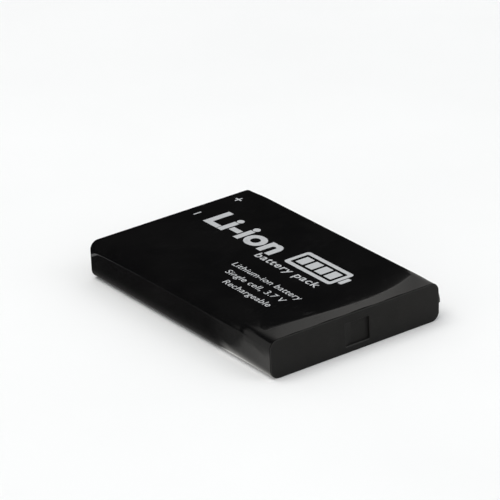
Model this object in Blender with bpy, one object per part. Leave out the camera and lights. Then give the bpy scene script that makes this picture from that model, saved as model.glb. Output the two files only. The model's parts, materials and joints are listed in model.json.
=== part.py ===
"""Slim rechargeable lithium-ion battery pack with a pouch cell inside.

A thin rectangular pack, 35.2 x 53.0 x 7.0 mm. A label film wraps two moulded
end caps, two side rails and two stiffening sheets. Between them lies a pouch
cell: a flat-wound roll of electrode sheets and separators in a formed laminate
cup with a laminate cover. Its two tabs meet nickel strips that lead to a
protection board, whose three gold-plated contacts stand in windows in the
contact end cap.

Frame: origin at the centre of the pack's bottom face, +Z up through the
thickness, Y along the length with the plain base cap at -Y and the contact cap
at +Y, X across the width ("right" is +X). All constants are in millimetres.
"""
import bpy
import bmesh
from math import cos, pi, radians, sin
from mathutils import Vector

for old in list(bpy.data.objects):
    bpy.data.objects.remove(old, do_unlink=True)

MM = 0.001               # metres per millimetre

# ---- driving dimensions -----------------------------------------------------
PACK_W = 35.2            # X
PACK_L = 53.0            # Y
PACK_H = 7.0             # Z
EDGE_R = 1.65            # radius of the four long edges
Y_BASE = -PACK_L / 2     # outer face of the base cap
Y_CONT = PACK_L / 2      # outer face of the contact cap
Z_MID = PACK_H / 2

FILM_T = 0.12            # label film
FIT = 0.04               # gap between the film and what it wraps
LIP_L = 0.22             # length of each cap's lip that stays bare of film
Z_LO = FILM_T + FIT      # lowest and highest wrapped surface
Z_HI = PACK_H - FILM_T - FIT
BODY_W = PACK_W - 2 * (FILM_T + FIT)     # outline that the film wraps
BODY_H = PACK_H - 2 * (FILM_T + FIT)
BODY_R = EDGE_R - FILM_T - FIT

BASE_CAP_T = 1.45        # base cap, outer face to inner face
CAP_L = 3.8              # contact cap's length
BASE_INNER = Y_BASE + BASE_CAP_T         # the caps' inner ends
CAP_INNER = Y_CONT - CAP_L
FRAME_Y0 = BASE_INNER + 0.05             # ends of the rails and stiffening sheets
FRAME_Y1 = CAP_INNER - 0.08
RAIL_LIP_X = 15.65       # the rails' lips reach in to here

LAM_T = 0.15             # pouch laminate
CUP_X = 15.9             # half width over the cup's walls
CUP_Y0, CUP_Y1 = -24.1, 20.6
FLANGE_Z = 6.02          # top of the cup's flange
COVER_Z = 6.32           # underside of the cover
TERRACE_Y = 22.3         # end of the flat seal that the tabs pass through

TAB_T = 0.10
TAB_DROP_Y = TERRACE_Y + 0.27            # the tabs turn down here, past the seal

BOARD_Y0, BOARD_T = 24.5, 0.6            # board's inner face, thickness
SEAT_Y = BOARD_Y0 - 0.02                 # parts stand just clear of the inner face

# ---- helpers ----------------------------------------------------------------
root = bpy.data.objects.new("battery_pack", None)
bpy.context.scene.collection.objects.link(root)


def material(name, colour, roughness, metallic=0.0):
    """Principled material; the colour is linear RGB."""
    mat = bpy.data.materials.new(name)
    mat.use_nodes = True
    shader = mat.node_tree.nodes["Principled BSDF"]
    shader.inputs["Base Color"].default_value = (*colour, 1.0)
    shader.inputs["Roughness"].default_value = roughness
    shader.inputs["Metallic"].default_value = metallic
    mat.diffuse_color = (*colour, 1.0)
    return mat


def solid(name, body, mat, smooth_deg=None):
    """Turn a bmesh in pack coordinates into an object with its origin centred.

    With smooth_deg, edges sharper than that angle stay sharp.
    """
    spans = zip(*(vert.co for vert in body.verts))
    centre = Vector([(min(span) + max(span)) / 2 for span in map(list, spans)])
    for vert in body.verts:
        vert.co = (vert.co - centre) * MM
    bmesh.ops.recalc_face_normals(body, faces=body.faces)
    mesh = bpy.data.meshes.new(name)
    body.to_mesh(mesh)
    body.free()
    if smooth_deg:
        mesh.shade_smooth()
        mesh.set_sharp_from_angle(angle=radians(smooth_deg))
    obj = bpy.data.objects.new(name, mesh)
    obj.location = centre * MM
    obj.parent = root
    mesh.materials.append(mat)
    bpy.context.scene.collection.objects.link(obj)
    return obj


def boolean(target, operand, name, operation='DIFFERENCE'):
    """Add an exact Boolean modifier whose operand is a hidden guide body."""
    guide = solid(name, operand, MAT_CAP)
    guide.hide_render = True
    guide.display_type = 'WIRE'
    modifier = target.modifiers.new(name, 'BOOLEAN')
    modifier.operation = operation
    modifier.solver = 'EXACT'
    modifier.object = guide


def rounded_rect(width, height, radius, z_centre=Z_MID, segments=8, x_centre=0.0):
    """Points (x, z) of a rounded rectangle, counter-clockwise seen from -Y."""
    points = []
    # corner: side in X, side in Z, start angle
    for x_side, z_side, start in ((1, -1, -90), (1, 1, 0), (-1, 1, 90), (-1, -1, 180)):
        for i in range(segments + 1):
            angle = radians(start + 90.0 * i / segments)
            points.append((x_centre + x_side * (width / 2 - radius) + radius * cos(angle),
                           z_centre + z_side * (height / 2 - radius) + radius * sin(angle)))
    return points


def loft_y(rings):
    """Closed body through rings [(y, [(x, z), ...]), ...] along Y."""
    body = bmesh.new()
    loops = [[body.verts.new((x, y, z)) for x, z in points] for y, points in rings]
    count = len(loops[0])
    for near, far in zip(loops, loops[1:]):
        for i in range(count):
            j = (i + 1) % count
            body.faces.new((near[i], near[j], far[j], far[i]))
    body.faces.new(loops[0])
    body.faces.new(loops[-1])
    return body


def prism_y(points, y0, y1):
    """Closed body of one (x, z) section from y0 to y1."""
    return loft_y([(y0, points), (y1, points)])


def tube_y(outer, inner, y0, y1):
    """Tube along Y between two loops with the same number of points."""
    body = bmesh.new()
    outer0, outer1, inner0, inner1 = [
        [body.verts.new((x, y, z)) for x, z in loop]
        for loop in (outer, inner) for y in (y0, y1)]
    count = len(outer)
    for i in range(count):
        j = (i + 1) % count
        body.faces.new((outer0[i], outer0[j], outer1[j], outer1[i]))
        body.faces.new((inner0[i], inner1[i], inner1[j], inner0[j]))
        body.faces.new((outer0[i], inner0[i], inner0[j], outer0[j]))
        body.faces.new((outer1[i], outer1[j], inner1[j], inner1[i]))
    return body


def box_body(low, high, bevel=0.0, segments=2):
    """Axis-aligned box from corner to corner, optionally with rounded edges."""
    body = bmesh.new()
    bmesh.ops.create_cube(body, size=1.0)
    for vert in body.verts:
        vert.co = Vector([(start + end) / 2 + unit * (end - start)
                          for start, end, unit in zip(low, high, vert.co)])
    if bevel:
        bmesh.ops.bevel(body, geom=body.edges[:], offset=bevel, segments=segments,
                        profile=0.5, affect='EDGES')
    return body


def box(name, low, high, mat, bevel=0.0, segments=2):
    """Box object, smooth-shaded where it is bevelled."""
    return solid(name, box_body(low, high, bevel, segments), mat, 40 if bevel else None)


def ribbon(path, thickness, start, end, axis):
    """Strip centred on a polyline, swept from start to end on an axis.

    The polyline's two coordinates are the two remaining axes in X, Y, Z order.
    """
    points = [Vector(point) for point in path]
    normals = []
    for here, there in zip(points, points[1:]):
        run = (there - here).normalized()
        normals.append(Vector((-run.y, run.x)))
    left, right = [], []
    for i, point in enumerate(points):
        before = normals[max(i - 1, 0)]
        after = normals[min(i, len(normals) - 1)]
        mitre = (before + after).normalized()
        offset = mitre * (thickness / 2 / mitre.dot(before))
        left.append(point + offset)
        right.append(point - offset)

    def place(point, along):
        coords = [point.x, point.y]
        coords.insert(axis, along)
        return coords

    body = bmesh.new()
    left0, left1, right0, right1 = [
        [body.verts.new(place(point, along)) for point in row]
        for row in (left, right) for along in (start, end)]
    for i in range(len(points) - 1):
        j = i + 1
        body.faces.new((left0[i], left0[j], left1[j], left1[i]))
        body.faces.new((right0[i], right1[i], right1[j], right0[j]))
        body.faces.new((left0[i], right0[i], right0[j], left0[j]))
        body.faces.new((left1[i], left1[j], right1[j], right1[i]))
    body.faces.new((left0[0], left1[0], right1[0], right0[0]))
    body.faces.new((left0[-1], right0[-1], right1[-1], left1[-1]))
    return body


# ---- materials --------------------------------------------------------------
MAT_FILM = material("label_film", colour=(0.007, 0.007, 0.008), roughness=0.13)
MAT_CAP = material("cap_plastic", colour=(0.018, 0.018, 0.020), roughness=0.48)
MAT_RAIL = material("rail_plastic", colour=(0.030, 0.030, 0.033), roughness=0.50)
MAT_GOLD = material("contact_gold", colour=(0.83, 0.55, 0.20), roughness=0.22, metallic=1.0)
MAT_NICKEL = material("nickel", colour=(0.60, 0.57, 0.52), roughness=0.30, metallic=1.0)
MAT_ALU = material("aluminium_foil", colour=(0.80, 0.80, 0.82), roughness=0.30, metallic=1.0)
MAT_LAMINATE = material("pouch_laminate", colour=(0.58, 0.59, 0.61), roughness=0.34,
                        metallic=0.8)
MAT_SEALANT = material("tab_sealant", colour=(0.66, 0.64, 0.55), roughness=0.45)
MAT_CATHODE = material("cathode_coating", colour=(0.035, 0.035, 0.038), roughness=0.75)
MAT_ANODE = material("anode_coating", colour=(0.060, 0.060, 0.065), roughness=0.70)
MAT_SEPARATOR = material("separator", colour=(0.80, 0.80, 0.78), roughness=0.50)
MAT_BOARD = material("board_laminate", colour=(0.012, 0.090, 0.045), roughness=0.35)
MAT_CHIP = material("chip_epoxy", colour=(0.014, 0.014, 0.015), roughness=0.45)
MAT_CERAMIC = material("capacitor_ceramic", colour=(0.33, 0.21, 0.12), roughness=0.40)
MAT_RESISTOR = material("resistor_body", colour=(0.030, 0.034, 0.040), roughness=0.40)
MAT_FIBRE = material("fibre_paper", colour=(0.36, 0.42, 0.36), roughness=0.80)
MAT_FOAM = material("foam", colour=(0.045, 0.045, 0.045), roughness=0.90)
MAT_GLUE = material("adhesive_film", colour=(0.75, 0.74, 0.70), roughness=0.55)
MAT_POLYIMIDE = material("polyimide_tape", colour=(0.62, 0.24, 0.02), roughness=0.25)
MAT_TAPE = material("roll_tape", colour=(0.05, 0.22, 0.10), roughness=0.40)
MAT_STIFF = material("stiffener_sheet", colour=(0.10, 0.10, 0.11), roughness=0.45)

# ---- label film -------------------------------------------------------------
# One wrapped film. Its two ends lap on the +X side: the outer end comes down
# from the top, swells gradually below LAP_Z1 and stops in a step at LAP_Z0.
FILM_END_GAP = 0.05      # film's edge to the cap's lip
LAP_Z0, LAP_Z1 = 3.0, 4.7
LAP_PROFILE = [          # (z, how far the film stands proud of the +X side)
    (LAP_Z0 - 0.03, 0.0), (LAP_Z0, FILM_T), (LAP_Z0 + 0.10, FILM_T + 0.01),
    (LAP_Z1 - 0.70, 0.11), (LAP_Z1 - 0.35, 0.055), (LAP_Z1, 0.0)]


def build_label_wrap():
    segments = 8
    outer = rounded_rect(PACK_W, PACK_H, EDGE_R, segments=segments)
    inner = rounded_rect(PACK_W - 2 * FILM_T, PACK_H - 2 * FILM_T, EDGE_R - FILM_T,
                         segments=segments)
    # the +X side lies between the first two corners of both loops
    split = segments + 1
    outer[split:split] = [(PACK_W / 2 + proud, z) for z, proud in LAP_PROFILE]
    inner[split:split] = [(PACK_W / 2 - FILM_T, z) for z, _ in LAP_PROFILE]
    inset = LIP_L + FILM_END_GAP
    solid("label_wrap", tube_y(outer, inner, Y_BASE + inset, Y_CONT - inset), MAT_FILM, 30)


# ---- end caps ---------------------------------------------------------------
LIP_R = 0.14             # rounding of the lip's outer edge
LIP_R_STEPS = 4
LIP_STEP = 0.001         # length over which the lip drops to the wrapped body
OVERSHOOT = 1.0          # how far a cutter runs past the face it opens

POCKET_W, POCKET_H, POCKET_D, POCKET_R = 5.1, 4.2, 0.45, 0.25
POCKET_X, POCKET_Z = 0.2, 3.35
POCKET_RAMP = 1.6        # the floor climbs back to the face over this run, at -X

CAP_WALL = 0.7
CAP_FRONT = 1.3          # thickness of the contact cap's outer wall
CAVITY_R = 0.8
WINDOW_W, WINDOW_H, WINDOW_R = 3.3, 3.7, 0.35
WINDOW_PITCH = 4.5
WINDOW_X0 = 3.6          # first window's centre; the row sits towards +X
WINDOW_X = [WINDOW_X0 + i * WINDOW_PITCH for i in range(3)]


def build_cap(name, face_y, inner_y):
    """Cap with a rounded outer edge, a bare lip, then the wrapped body."""
    inward = 1.0 if inner_y > face_y else -1.0
    rings = []
    for i in range(LIP_R_STEPS + 1):
        angle = radians(90.0 * i / LIP_R_STEPS)
        inset = LIP_R * (1 - sin(angle))
        rings.append((face_y + inward * LIP_R * (1 - cos(angle)),
                      rounded_rect(PACK_W - 2 * inset, PACK_H - 2 * inset, EDGE_R - inset)))
    body_outline = rounded_rect(BODY_W, BODY_H, BODY_R)
    rings += [(face_y + inward * LIP_L, rounded_rect(PACK_W, PACK_H, EDGE_R)),
              (face_y + inward * (LIP_L + LIP_STEP), body_outline),
              (inner_y, body_outline)]
    return solid(name, loft_y(rings), MAT_CAP, 35)


def build_base_end_cap():
    cap = build_cap("base_end_cap", Y_BASE, BASE_INNER)
    mouth = rounded_rect(POCKET_W, POCKET_H, POCKET_R, POCKET_Z, 4, POCKET_X)
    floor = rounded_rect(POCKET_W - POCKET_RAMP, POCKET_H, POCKET_R, POCKET_Z, 4,
                         POCKET_X + POCKET_RAMP / 2)
    boolean(cap, loft_y([(Y_BASE - OVERSHOOT, mouth), (Y_BASE, mouth),
                         (Y_BASE + POCKET_D, floor)]), "guide_pocket")


def build_contact_end_cap():
    cap = build_cap("contact_end_cap", Y_CONT, CAP_INNER)
    front_inner = Y_CONT - CAP_FRONT
    cavity = rounded_rect(BODY_W - 2 * CAP_WALL, BODY_H - 2 * CAP_WALL, CAVITY_R, segments=4)
    boolean(cap, prism_y(cavity, CAP_INNER - OVERSHOOT, front_inner), "guide_cavity")
    for i, x in enumerate(WINDOW_X):
        window = rounded_rect(WINDOW_W, WINDOW_H, WINDOW_R, segments=4, x_centre=x)
        boolean(cap, prism_y(window, front_inner - OVERSHOOT, Y_CONT + OVERSHOOT),
                "guide_window_%d" % (i + 1))


# ---- contacts: gold-plated plates standing in the windows --------------------
CONTACT_W, CONTACT_H = 2.8, 3.1
CONTACT_GAP = 0.03       # clear of the board's outer face
CONTACT_RECESS = 0.85    # behind the cap's outer face


def build_contacts():
    names = ("contact_negative", "contact_thermistor", "contact_positive")
    for x, name in zip(WINDOW_X, names):
        box(name,
            (x - CONTACT_W / 2, BOARD_Y0 + BOARD_T + CONTACT_GAP, Z_MID - CONTACT_H / 2),
            (x + CONTACT_W / 2, Y_CONT - CONTACT_RECESS, Z_MID + CONTACT_H / 2),
            MAT_GOLD, bevel=0.10)


# ---- side rails -------------------------------------------------------------
RAIL_X = 16.55           # inner face of the rails
RAIL_LIP_T = 0.32


def rail_section():
    """C-shaped section at +X: outer round of the wrapped outline, two lips."""
    outer = [point for point in rounded_rect(BODY_W, BODY_H, BODY_R)
             if point[0] > RAIL_LIP_X]
    return [(RAIL_LIP_X, Z_LO), *outer, (RAIL_LIP_X, Z_HI),
            (RAIL_LIP_X, Z_HI - RAIL_LIP_T), (RAIL_X, Z_HI - RAIL_LIP_T),
            (RAIL_X, Z_LO + RAIL_LIP_T), (RAIL_LIP_X, Z_LO + RAIL_LIP_T)]


def build_side_rails():
    right = rail_section()
    left = [(-x, z) for x, z in reversed(right)]
    for tag, section in (("right", right), ("left", left)):
        solid("side_rail_" + tag, prism_y(section, FRAME_Y0, FRAME_Y1), MAT_RAIL, 30)


# ---- stiffening sheets, adhesive and foam -----------------------------------
SHEET_X = RAIL_LIP_X - 0.05              # half width, clear of the rails' lips
SHEET_T = 0.25
GLUE_X = 14.8            # half width
GLUE_Y0 = -23.6
GLUE_T, GLUE_GAP = 0.08, 0.02
FOAM_X = 14.5            # half width
FOAM_Z0, FOAM_Z1 = 0.9, 6.0
FOAM_GAP = 0.45          # foam to the cup's base wall


def build_sheets():
    # tag, underside of the sheet, underside of the adhesive, adhesive's +Y end
    layers = (("top", Z_HI - SHEET_T, Z_HI - SHEET_T - GLUE_GAP - GLUE_T, 19.6),
              ("bottom", Z_LO, Z_LO + SHEET_T + GLUE_GAP, 20.0))
    for tag, sheet_z, glue_z, glue_y1 in layers:
        box("stiffener_sheet_" + tag, (-SHEET_X, FRAME_Y0, sheet_z),
            (SHEET_X, FRAME_Y1, sheet_z + SHEET_T), MAT_STIFF)
        box("adhesive_sheet_" + tag, (-GLUE_X, GLUE_Y0, glue_z),
            (GLUE_X, glue_y1, glue_z + GLUE_T), MAT_GLUE)


def build_foam_pad():
    box("base_foam_pad", (-FOAM_X, FRAME_Y0, FOAM_Z0),
        (FOAM_X, CUP_Y0 - FOAM_GAP, FOAM_Z1), MAT_FOAM)


# ---- pouch: formed cup and cover --------------------------------------------
# The cup is a tray whose flange is flat at the terrace, where the tabs leave,
# and folded down outside the walls on the two sides and the base. The cover is
# a sheet with three wings folded down over the cup's folded leaves.
CUP_Z0 = 0.53            # underside of the cup
CUP_OVERSHOOT = 1.0      # the hollow's cutter runs this far above the flange
LEAF_Z = 1.6             # lower edge of the leaves and wings
LEAF_OUT = 0.23          # cup wall to a leaf's outer face
WING_GAP = 0.06          # leaf to wing
FOLD_OVERLAP = 0.05      # the added sheets start this far inside the cup's outline
SIDE_TRIM = 0.3          # side folds stop short of the cup's ends
BASE_TRIM = 0.4          # base fold and terrace stop short of the cup's sides


def add_folds(target, word, sheet_z, reach):
    """Join folded sheets on both sides and the base, centred reach off the walls."""
    for side, tag in ((-1, "left"), (1, "right")):
        path = [(side * (CUP_X - FOLD_OVERLAP), sheet_z),
                (side * (CUP_X + reach), sheet_z), (side * (CUP_X + reach), LEAF_Z)]
        boolean(target, ribbon(path, LAM_T, CUP_Y0 + SIDE_TRIM, CUP_Y1 - SIDE_TRIM, axis=1),
                "guide_%s_%s" % (word, tag), 'UNION')
    path = [(CUP_Y0 + FOLD_OVERLAP, sheet_z), (CUP_Y0 - reach, sheet_z),
            (CUP_Y0 - reach, LEAF_Z)]
    boolean(target, ribbon(path, LAM_T, -CUP_X + BASE_TRIM, CUP_X - BASE_TRIM, axis=0),
            "guide_%s_base" % word, 'UNION')


def build_pouch_cup():
    cup = box("pouch_cup", (-CUP_X, CUP_Y0, CUP_Z0), (CUP_X, CUP_Y1, FLANGE_Z), MAT_LAMINATE)
    cup.data.shade_smooth()
    cup.data.set_sharp_from_angle(angle=radians(30))
    boolean(cup, box_body((-CUP_X + LAM_T, CUP_Y0 + LAM_T, CUP_Z0 + LAM_T),
                          (CUP_X - LAM_T, CUP_Y1 - LAM_T, FLANGE_Z + CUP_OVERSHOOT)),
            "guide_cup_hollow")
    boolean(cup, box_body((-CUP_X + BASE_TRIM, CUP_Y1 - FOLD_OVERLAP, FLANGE_Z - LAM_T),
                          (CUP_X - BASE_TRIM, TERRACE_Y, FLANGE_Z)),
            "guide_terrace", 'UNION')
    add_folds(cup, "leaf", FLANGE_Z - LAM_T / 2, LEAF_OUT - LAM_T / 2)


def build_pouch_cover():
    cover = solid("pouch_cover", box_body((-CUP_X, CUP_Y0, COVER_Z),
                                          (CUP_X, TERRACE_Y, COVER_Z + LAM_T)),
                  MAT_LAMINATE, 30)
    add_folds(cover, "wing", COVER_Z + LAM_T / 2, LEAF_OUT + WING_GAP + LAM_T / 2)


# ---- flat-wound roll --------------------------------------------------------
# Four sheets wound together on one flattened spiral; the winding axis is Y.
ROLL_Y0, ROLL_Y1 = -23.5, 19.2
ROLL_HALF_FLAT = 12.55   # centres of the half rounds, +-X
ROLL_START = 0.25        # radius of the innermost sheet's centreline at its start
ROLL_TURNS = 3.25
ROUND_STEPS = 8          # per half round
ELECTRODE_T = 0.18       # coated electrode sheet
SEPARATOR_T = 0.06
SHEET_GAP = 0.03
LAYER_STEP = ELECTRODE_T / 2 + SHEET_GAP + SEPARATOR_T / 2   # sheet centre to centre
ROLL_SHEETS = (          # name, thickness, setback from the roll's ends, material
    ("cathode_sheet", ELECTRODE_T, 0.6, MAT_CATHODE),
    ("separator_inner", SEPARATOR_T, 0.0, MAT_SEPARATOR),
    ("anode_sheet", ELECTRODE_T, 0.3, MAT_ANODE),
    ("separator_outer", SEPARATOR_T, 0.0, MAT_SEPARATOR))


def spiral_strip(offset, thickness, y0, y1):
    """Strip on the flattened spiral, its centreline shifted out by offset."""
    turn_pitch = len(ROLL_SHEETS) * LAYER_STEP
    body = bmesh.new()
    rings = []
    # Every second quarter turn is a half round; the flats between them need
    # no points of their own.
    for quarter in range(0, int(ROLL_TURNS * 4), 2):
        side = 1 if quarter % 4 == 0 else -1
        for i in range(ROUND_STEPS + 1):
            turn = quarter / 4.0 + 0.25 * i / ROUND_STEPS
            angle = radians(-90 * side + 180.0 * i / ROUND_STEPS)
            middle = ROLL_START + offset + turn_pitch * turn
            rings.append([body.verts.new((side * ROLL_HALF_FLAT + radius * cos(angle), y,
                                          Z_MID + radius * sin(angle)))
                          for radius in (middle - thickness / 2, middle + thickness / 2)
                          for y in (y0, y1)])
    for here, there in zip(rings, rings[1:]):
        body.faces.new((here[0], here[1], there[1], there[0]))      # inner side
        body.faces.new((here[2], there[2], there[3], here[3]))      # outer side
        body.faces.new((here[0], there[0], there[2], here[2]))      # edge at y0
        body.faces.new((here[1], here[3], there[3], there[1]))      # edge at y1
    first, last = rings[0], rings[-1]
    body.faces.new((first[0], first[2], first[3], first[1]))
    body.faces.new((last[0], last[1], last[3], last[2]))
    return body


def build_roll():
    for i, (name, thickness, setback, mat) in enumerate(ROLL_SHEETS):
        strip = spiral_strip(i * LAYER_STEP, thickness, ROLL_Y0 + setback, ROLL_Y1 - setback)
        solid(name, strip, mat, 30)
    box("roll_closing_tape", (-7.0, -21.0, 6.22), (5.0, 16.5, 6.27), MAT_TAPE)


# ---- tabs, their sealant sleeves and insulation -----------------------------
TAB_W = 4.0
TAB_X = 7.0              # tabs at -X (aluminium) and +X (nickel)
TAB_Z = (FLANGE_Z + COVER_Z) / 2         # midway through the seal
TAB_ROOT_Y, TAB_ROOT_Z = 19.45, 3.3      # the tab rises from here beside the roll
TAB_SLOPE_Y, TAB_SLOPE_Z = 0.30, 0.45    # run and rise of the slope above that
TAB_END_Z = 3.0
SLEEVE_OUT_X, SLEEVE_OUT_Z = 0.6, 0.13   # past the tab's edge, half height
SLEEVE_IN_X, SLEEVE_IN_Z = 0.04, 0.07    # the same for the sleeve's opening
TERRACE_GAP = 0.15       # sleeve and insulator to the cup wall, sleeve to the edge
INSULATOR_X, INSULATOR_Z0 = 14.0, 0.95   # half width, lower edge
INSULATOR_GAP = 0.1
TAPE_X, TAPE_Y0 = 11.5, 19.8             # half width, -Y end
TAPE_GAP, TAPE_T = 0.02, 0.06


def rect_loop(x_centre, half_width, half_height):
    """Rectangle of (x, z) points about the tabs' height."""
    return [(x_centre + x * half_width, TAB_Z + z * half_height)
            for x, z in ((-1, -1), (1, -1), (1, 1), (-1, 1))]


def build_tabs():
    half = TAB_W / 2
    path = [(TAB_ROOT_Y, TAB_ROOT_Z), (TAB_ROOT_Y, TAB_Z - TAB_SLOPE_Z),
            (TAB_ROOT_Y + TAB_SLOPE_Y, TAB_Z), (TAB_DROP_Y, TAB_Z),
            (TAB_DROP_Y, TAB_END_Z)]
    for x, tag, mat in ((-TAB_X, "cathode", MAT_ALU), (TAB_X, "anode", MAT_NICKEL)):
        solid(tag + "_tab", ribbon(path, TAB_T, x - half, x + half, axis=0), mat, 30)
        solid(tag + "_tab_sealant",
              tube_y(rect_loop(x, half + SLEEVE_OUT_X, SLEEVE_OUT_Z),
                     rect_loop(x, half + SLEEVE_IN_X, SLEEVE_IN_Z),
                     CUP_Y1 + TERRACE_GAP, TERRACE_Y - TERRACE_GAP), MAT_SEALANT)


def build_tab_insulation():
    """Insulator below the terrace and tape on the cover above the tabs."""
    box("terrace_insulator", (-INSULATOR_X, CUP_Y1 + TERRACE_GAP, INSULATOR_Z0),
        (INSULATOR_X, TERRACE_Y - INSULATOR_GAP, FLANGE_Z - LAM_T - INSULATOR_GAP), MAT_FIBRE)
    tape_z = COVER_Z + LAM_T + TAPE_GAP
    box("tab_insulation_tape", (-TAPE_X, TAPE_Y0, tape_z),
        (TAPE_X, TERRACE_Y - 0.05, tape_z + TAPE_T), MAT_POLYIMIDE)


# ---- protection board -------------------------------------------------------
BOARD_W, BOARD_H = 31.6, 5.0
NOTCH_R, NOTCH_SIDES = 0.6, 16           # round notch in each short edge
NOTCH_OVERSHOOT = 0.5


def build_board():
    board = box("protection_board", (-BOARD_W / 2, BOARD_Y0, Z_MID - BOARD_H / 2),
                (BOARD_W / 2, BOARD_Y0 + BOARD_T, Z_MID + BOARD_H / 2), MAT_BOARD)
    for side, tag in ((-1, "left"), (1, "right")):
        circle = [(side * BOARD_W / 2 + NOTCH_R * cos(2 * pi * i / NOTCH_SIDES),
                   Z_MID + NOTCH_R * sin(2 * pi * i / NOTCH_SIDES))
                  for i in range(NOTCH_SIDES)]
        boolean(board, prism_y(circle, BOARD_Y0 - NOTCH_OVERSHOOT,
                               BOARD_Y0 + BOARD_T + NOTCH_OVERSHOOT),
                "guide_board_notch_" + tag)


# ---- parts on the board's inner face ----------------------------------------
CHIP_STANDOFF = 0.06
CHIP_BEVEL = 0.06
LEG_T = 0.12
LEG_ROOT = 0.15          # how far a leg starts inside the chip's edge
LEG_BEND, LEG_FOOT = 0.18, 0.28          # slope's start and end beyond the chip's edge
PASSIVES = (             # name, x, z from mid-height, width, height, thickness, material
    ("sense_resistor", 5.4, 0.9, 2.0, 1.2, 0.5, MAT_RESISTOR),
    ("filter_resistor", -7.4, 1.2, 1.0, 0.5, 0.35, MAT_RESISTOR),
    ("gate_resistor", -7.4, 0.0, 1.0, 0.5, 0.35, MAT_RESISTOR),
    ("filter_capacitor", -7.4, -1.2, 1.0, 0.5, 0.5, MAT_CERAMIC),
    ("bypass_capacitor", 5.4, -0.9, 1.6, 0.8, 0.7, MAT_CERAMIC),
    ("thermistor", 8.2, 0.0, 0.8, 1.6, 0.7, MAT_CERAMIC))


def build_chip(name, x, width, height, thickness, legs, pitch, leg_w, reach):
    """Moulded chip at mid-height with gull-wing legs in +-Z."""
    chip = solid(name, box_body((x - width / 2, SEAT_Y - thickness, Z_MID - height / 2),
                                (x + width / 2, SEAT_Y - CHIP_STANDOFF, Z_MID + height / 2),
                                CHIP_BEVEL, 1), MAT_CHIP)
    foot_y = SEAT_Y - LEG_T / 2
    for i in range(legs):
        leg_x = x + (i - (legs - 1) / 2) * pitch
        for side, tag in ((-1, "low"), (1, "high")):
            path = [(SEAT_Y - thickness / 2, Z_MID + side * (height / 2 - LEG_ROOT)),
                    (SEAT_Y - thickness / 2, Z_MID + side * (height / 2 + LEG_BEND)),
                    (foot_y, Z_MID + side * (height / 2 + LEG_FOOT)),
                    (foot_y, Z_MID + side * (height / 2 + reach))]
            boolean(chip, ribbon(path, LEG_T, leg_x - leg_w / 2, leg_x + leg_w / 2, axis=0),
                    "guide_%s_leg_%s_%d" % (name, tag, i + 1), 'UNION')


def build_board_parts():
    build_chip("protection_ic", x=-4.2, width=2.9, height=1.6, thickness=1.0,
               legs=3, pitch=0.95, leg_w=0.4, reach=0.60)
    build_chip("mosfet_pair", x=1.4, width=3.0, height=2.9, thickness=0.95,
               legs=4, pitch=0.65, leg_w=0.26, reach=0.62)
    for name, x, rise, width, height, thickness, mat in PASSIVES:
        z = Z_MID + rise
        box(name, (x - width / 2, SEAT_Y - thickness, z - height / 2),
            (x + width / 2, SEAT_Y, z + height / 2), mat, bevel=0.05, segments=1)


# ---- strips from the tabs to the board --------------------------------------
STRIP_T = 0.12
STRIP_Z0, STRIP_Z1 = 2.5, 4.9
STRIP_Y = TAB_DROP_Y + TAB_T / 2 + 0.03 + STRIP_T / 2    # just clear of the tabs
FOOT_Y = SEAT_Y - STRIP_T / 2
STRIP_TAB_X = 5.2        # start at the tab, +-X
STRIP_TURN_X = 14.6      # turn towards the board
STRIP_FOOT_X = 12.4      # end of the foot on the board
CUTOFF_X0, CUTOFF_X1 = 9.36, 12.36
CUTOFF_T = 0.8
CUTOFF_RIM = 0.1         # beyond the strip's edges in Z
CUTOFF_GAP = 0.06        # cutoff to the strips at either end


def build_strip(name, path):
    solid(name, ribbon(path, STRIP_T, STRIP_Z0, STRIP_Z1, axis=2), MAT_NICKEL)


def build_strips():
    """Positive strip at -X; lead, thermal cutoff and negative strip at +X."""
    build_strip("nickel_strip_positive",
                [(-STRIP_TAB_X, STRIP_Y), (-STRIP_TURN_X, STRIP_Y),
                 (-STRIP_TURN_X, FOOT_Y), (-STRIP_FOOT_X, FOOT_Y)])
    build_strip("cutoff_lead", [(STRIP_TAB_X, STRIP_Y), (CUTOFF_X0 - CUTOFF_GAP, STRIP_Y)])
    cutoff_y = STRIP_Y - STRIP_T / 2
    box("thermal_cutoff", (CUTOFF_X0, cutoff_y, STRIP_Z0 - CUTOFF_RIM),
        (CUTOFF_X1, cutoff_y + CUTOFF_T, STRIP_Z1 + CUTOFF_RIM), MAT_CHIP, bevel=0.12)
    build_strip("nickel_strip_negative",
                [(CUTOFF_X1 + CUTOFF_GAP, STRIP_Y), (STRIP_TURN_X, STRIP_Y),
                 (STRIP_TURN_X, FOOT_Y), (STRIP_FOOT_X, FOOT_Y)])


build_label_wrap()
build_base_end_cap()
build_contact_end_cap()
build_contacts()
build_side_rails()
build_sheets()
build_foam_pad()
build_pouch_cup()
build_pouch_cover()
build_roll()
build_tabs()
build_tab_insulation()
build_board()
build_board_parts()
build_strips()
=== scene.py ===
# Slim rechargeable battery pack: glossy black film shrunk round a flat body, with a satin cap
# at each end. It lies on the floor with its width along X, length along Y and height along Z.
# The base cap is at the -Y end and the contact cap at the +Y end.
# Lengths are millimetres unless a comment says otherwise; MM turns them into metres.
import json
import math
from math import cos, exp, radians, sin

import bmesh
import bpy
from mathutils import Matrix, Vector
from mathutils.geometry import tessellate_polygon


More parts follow.
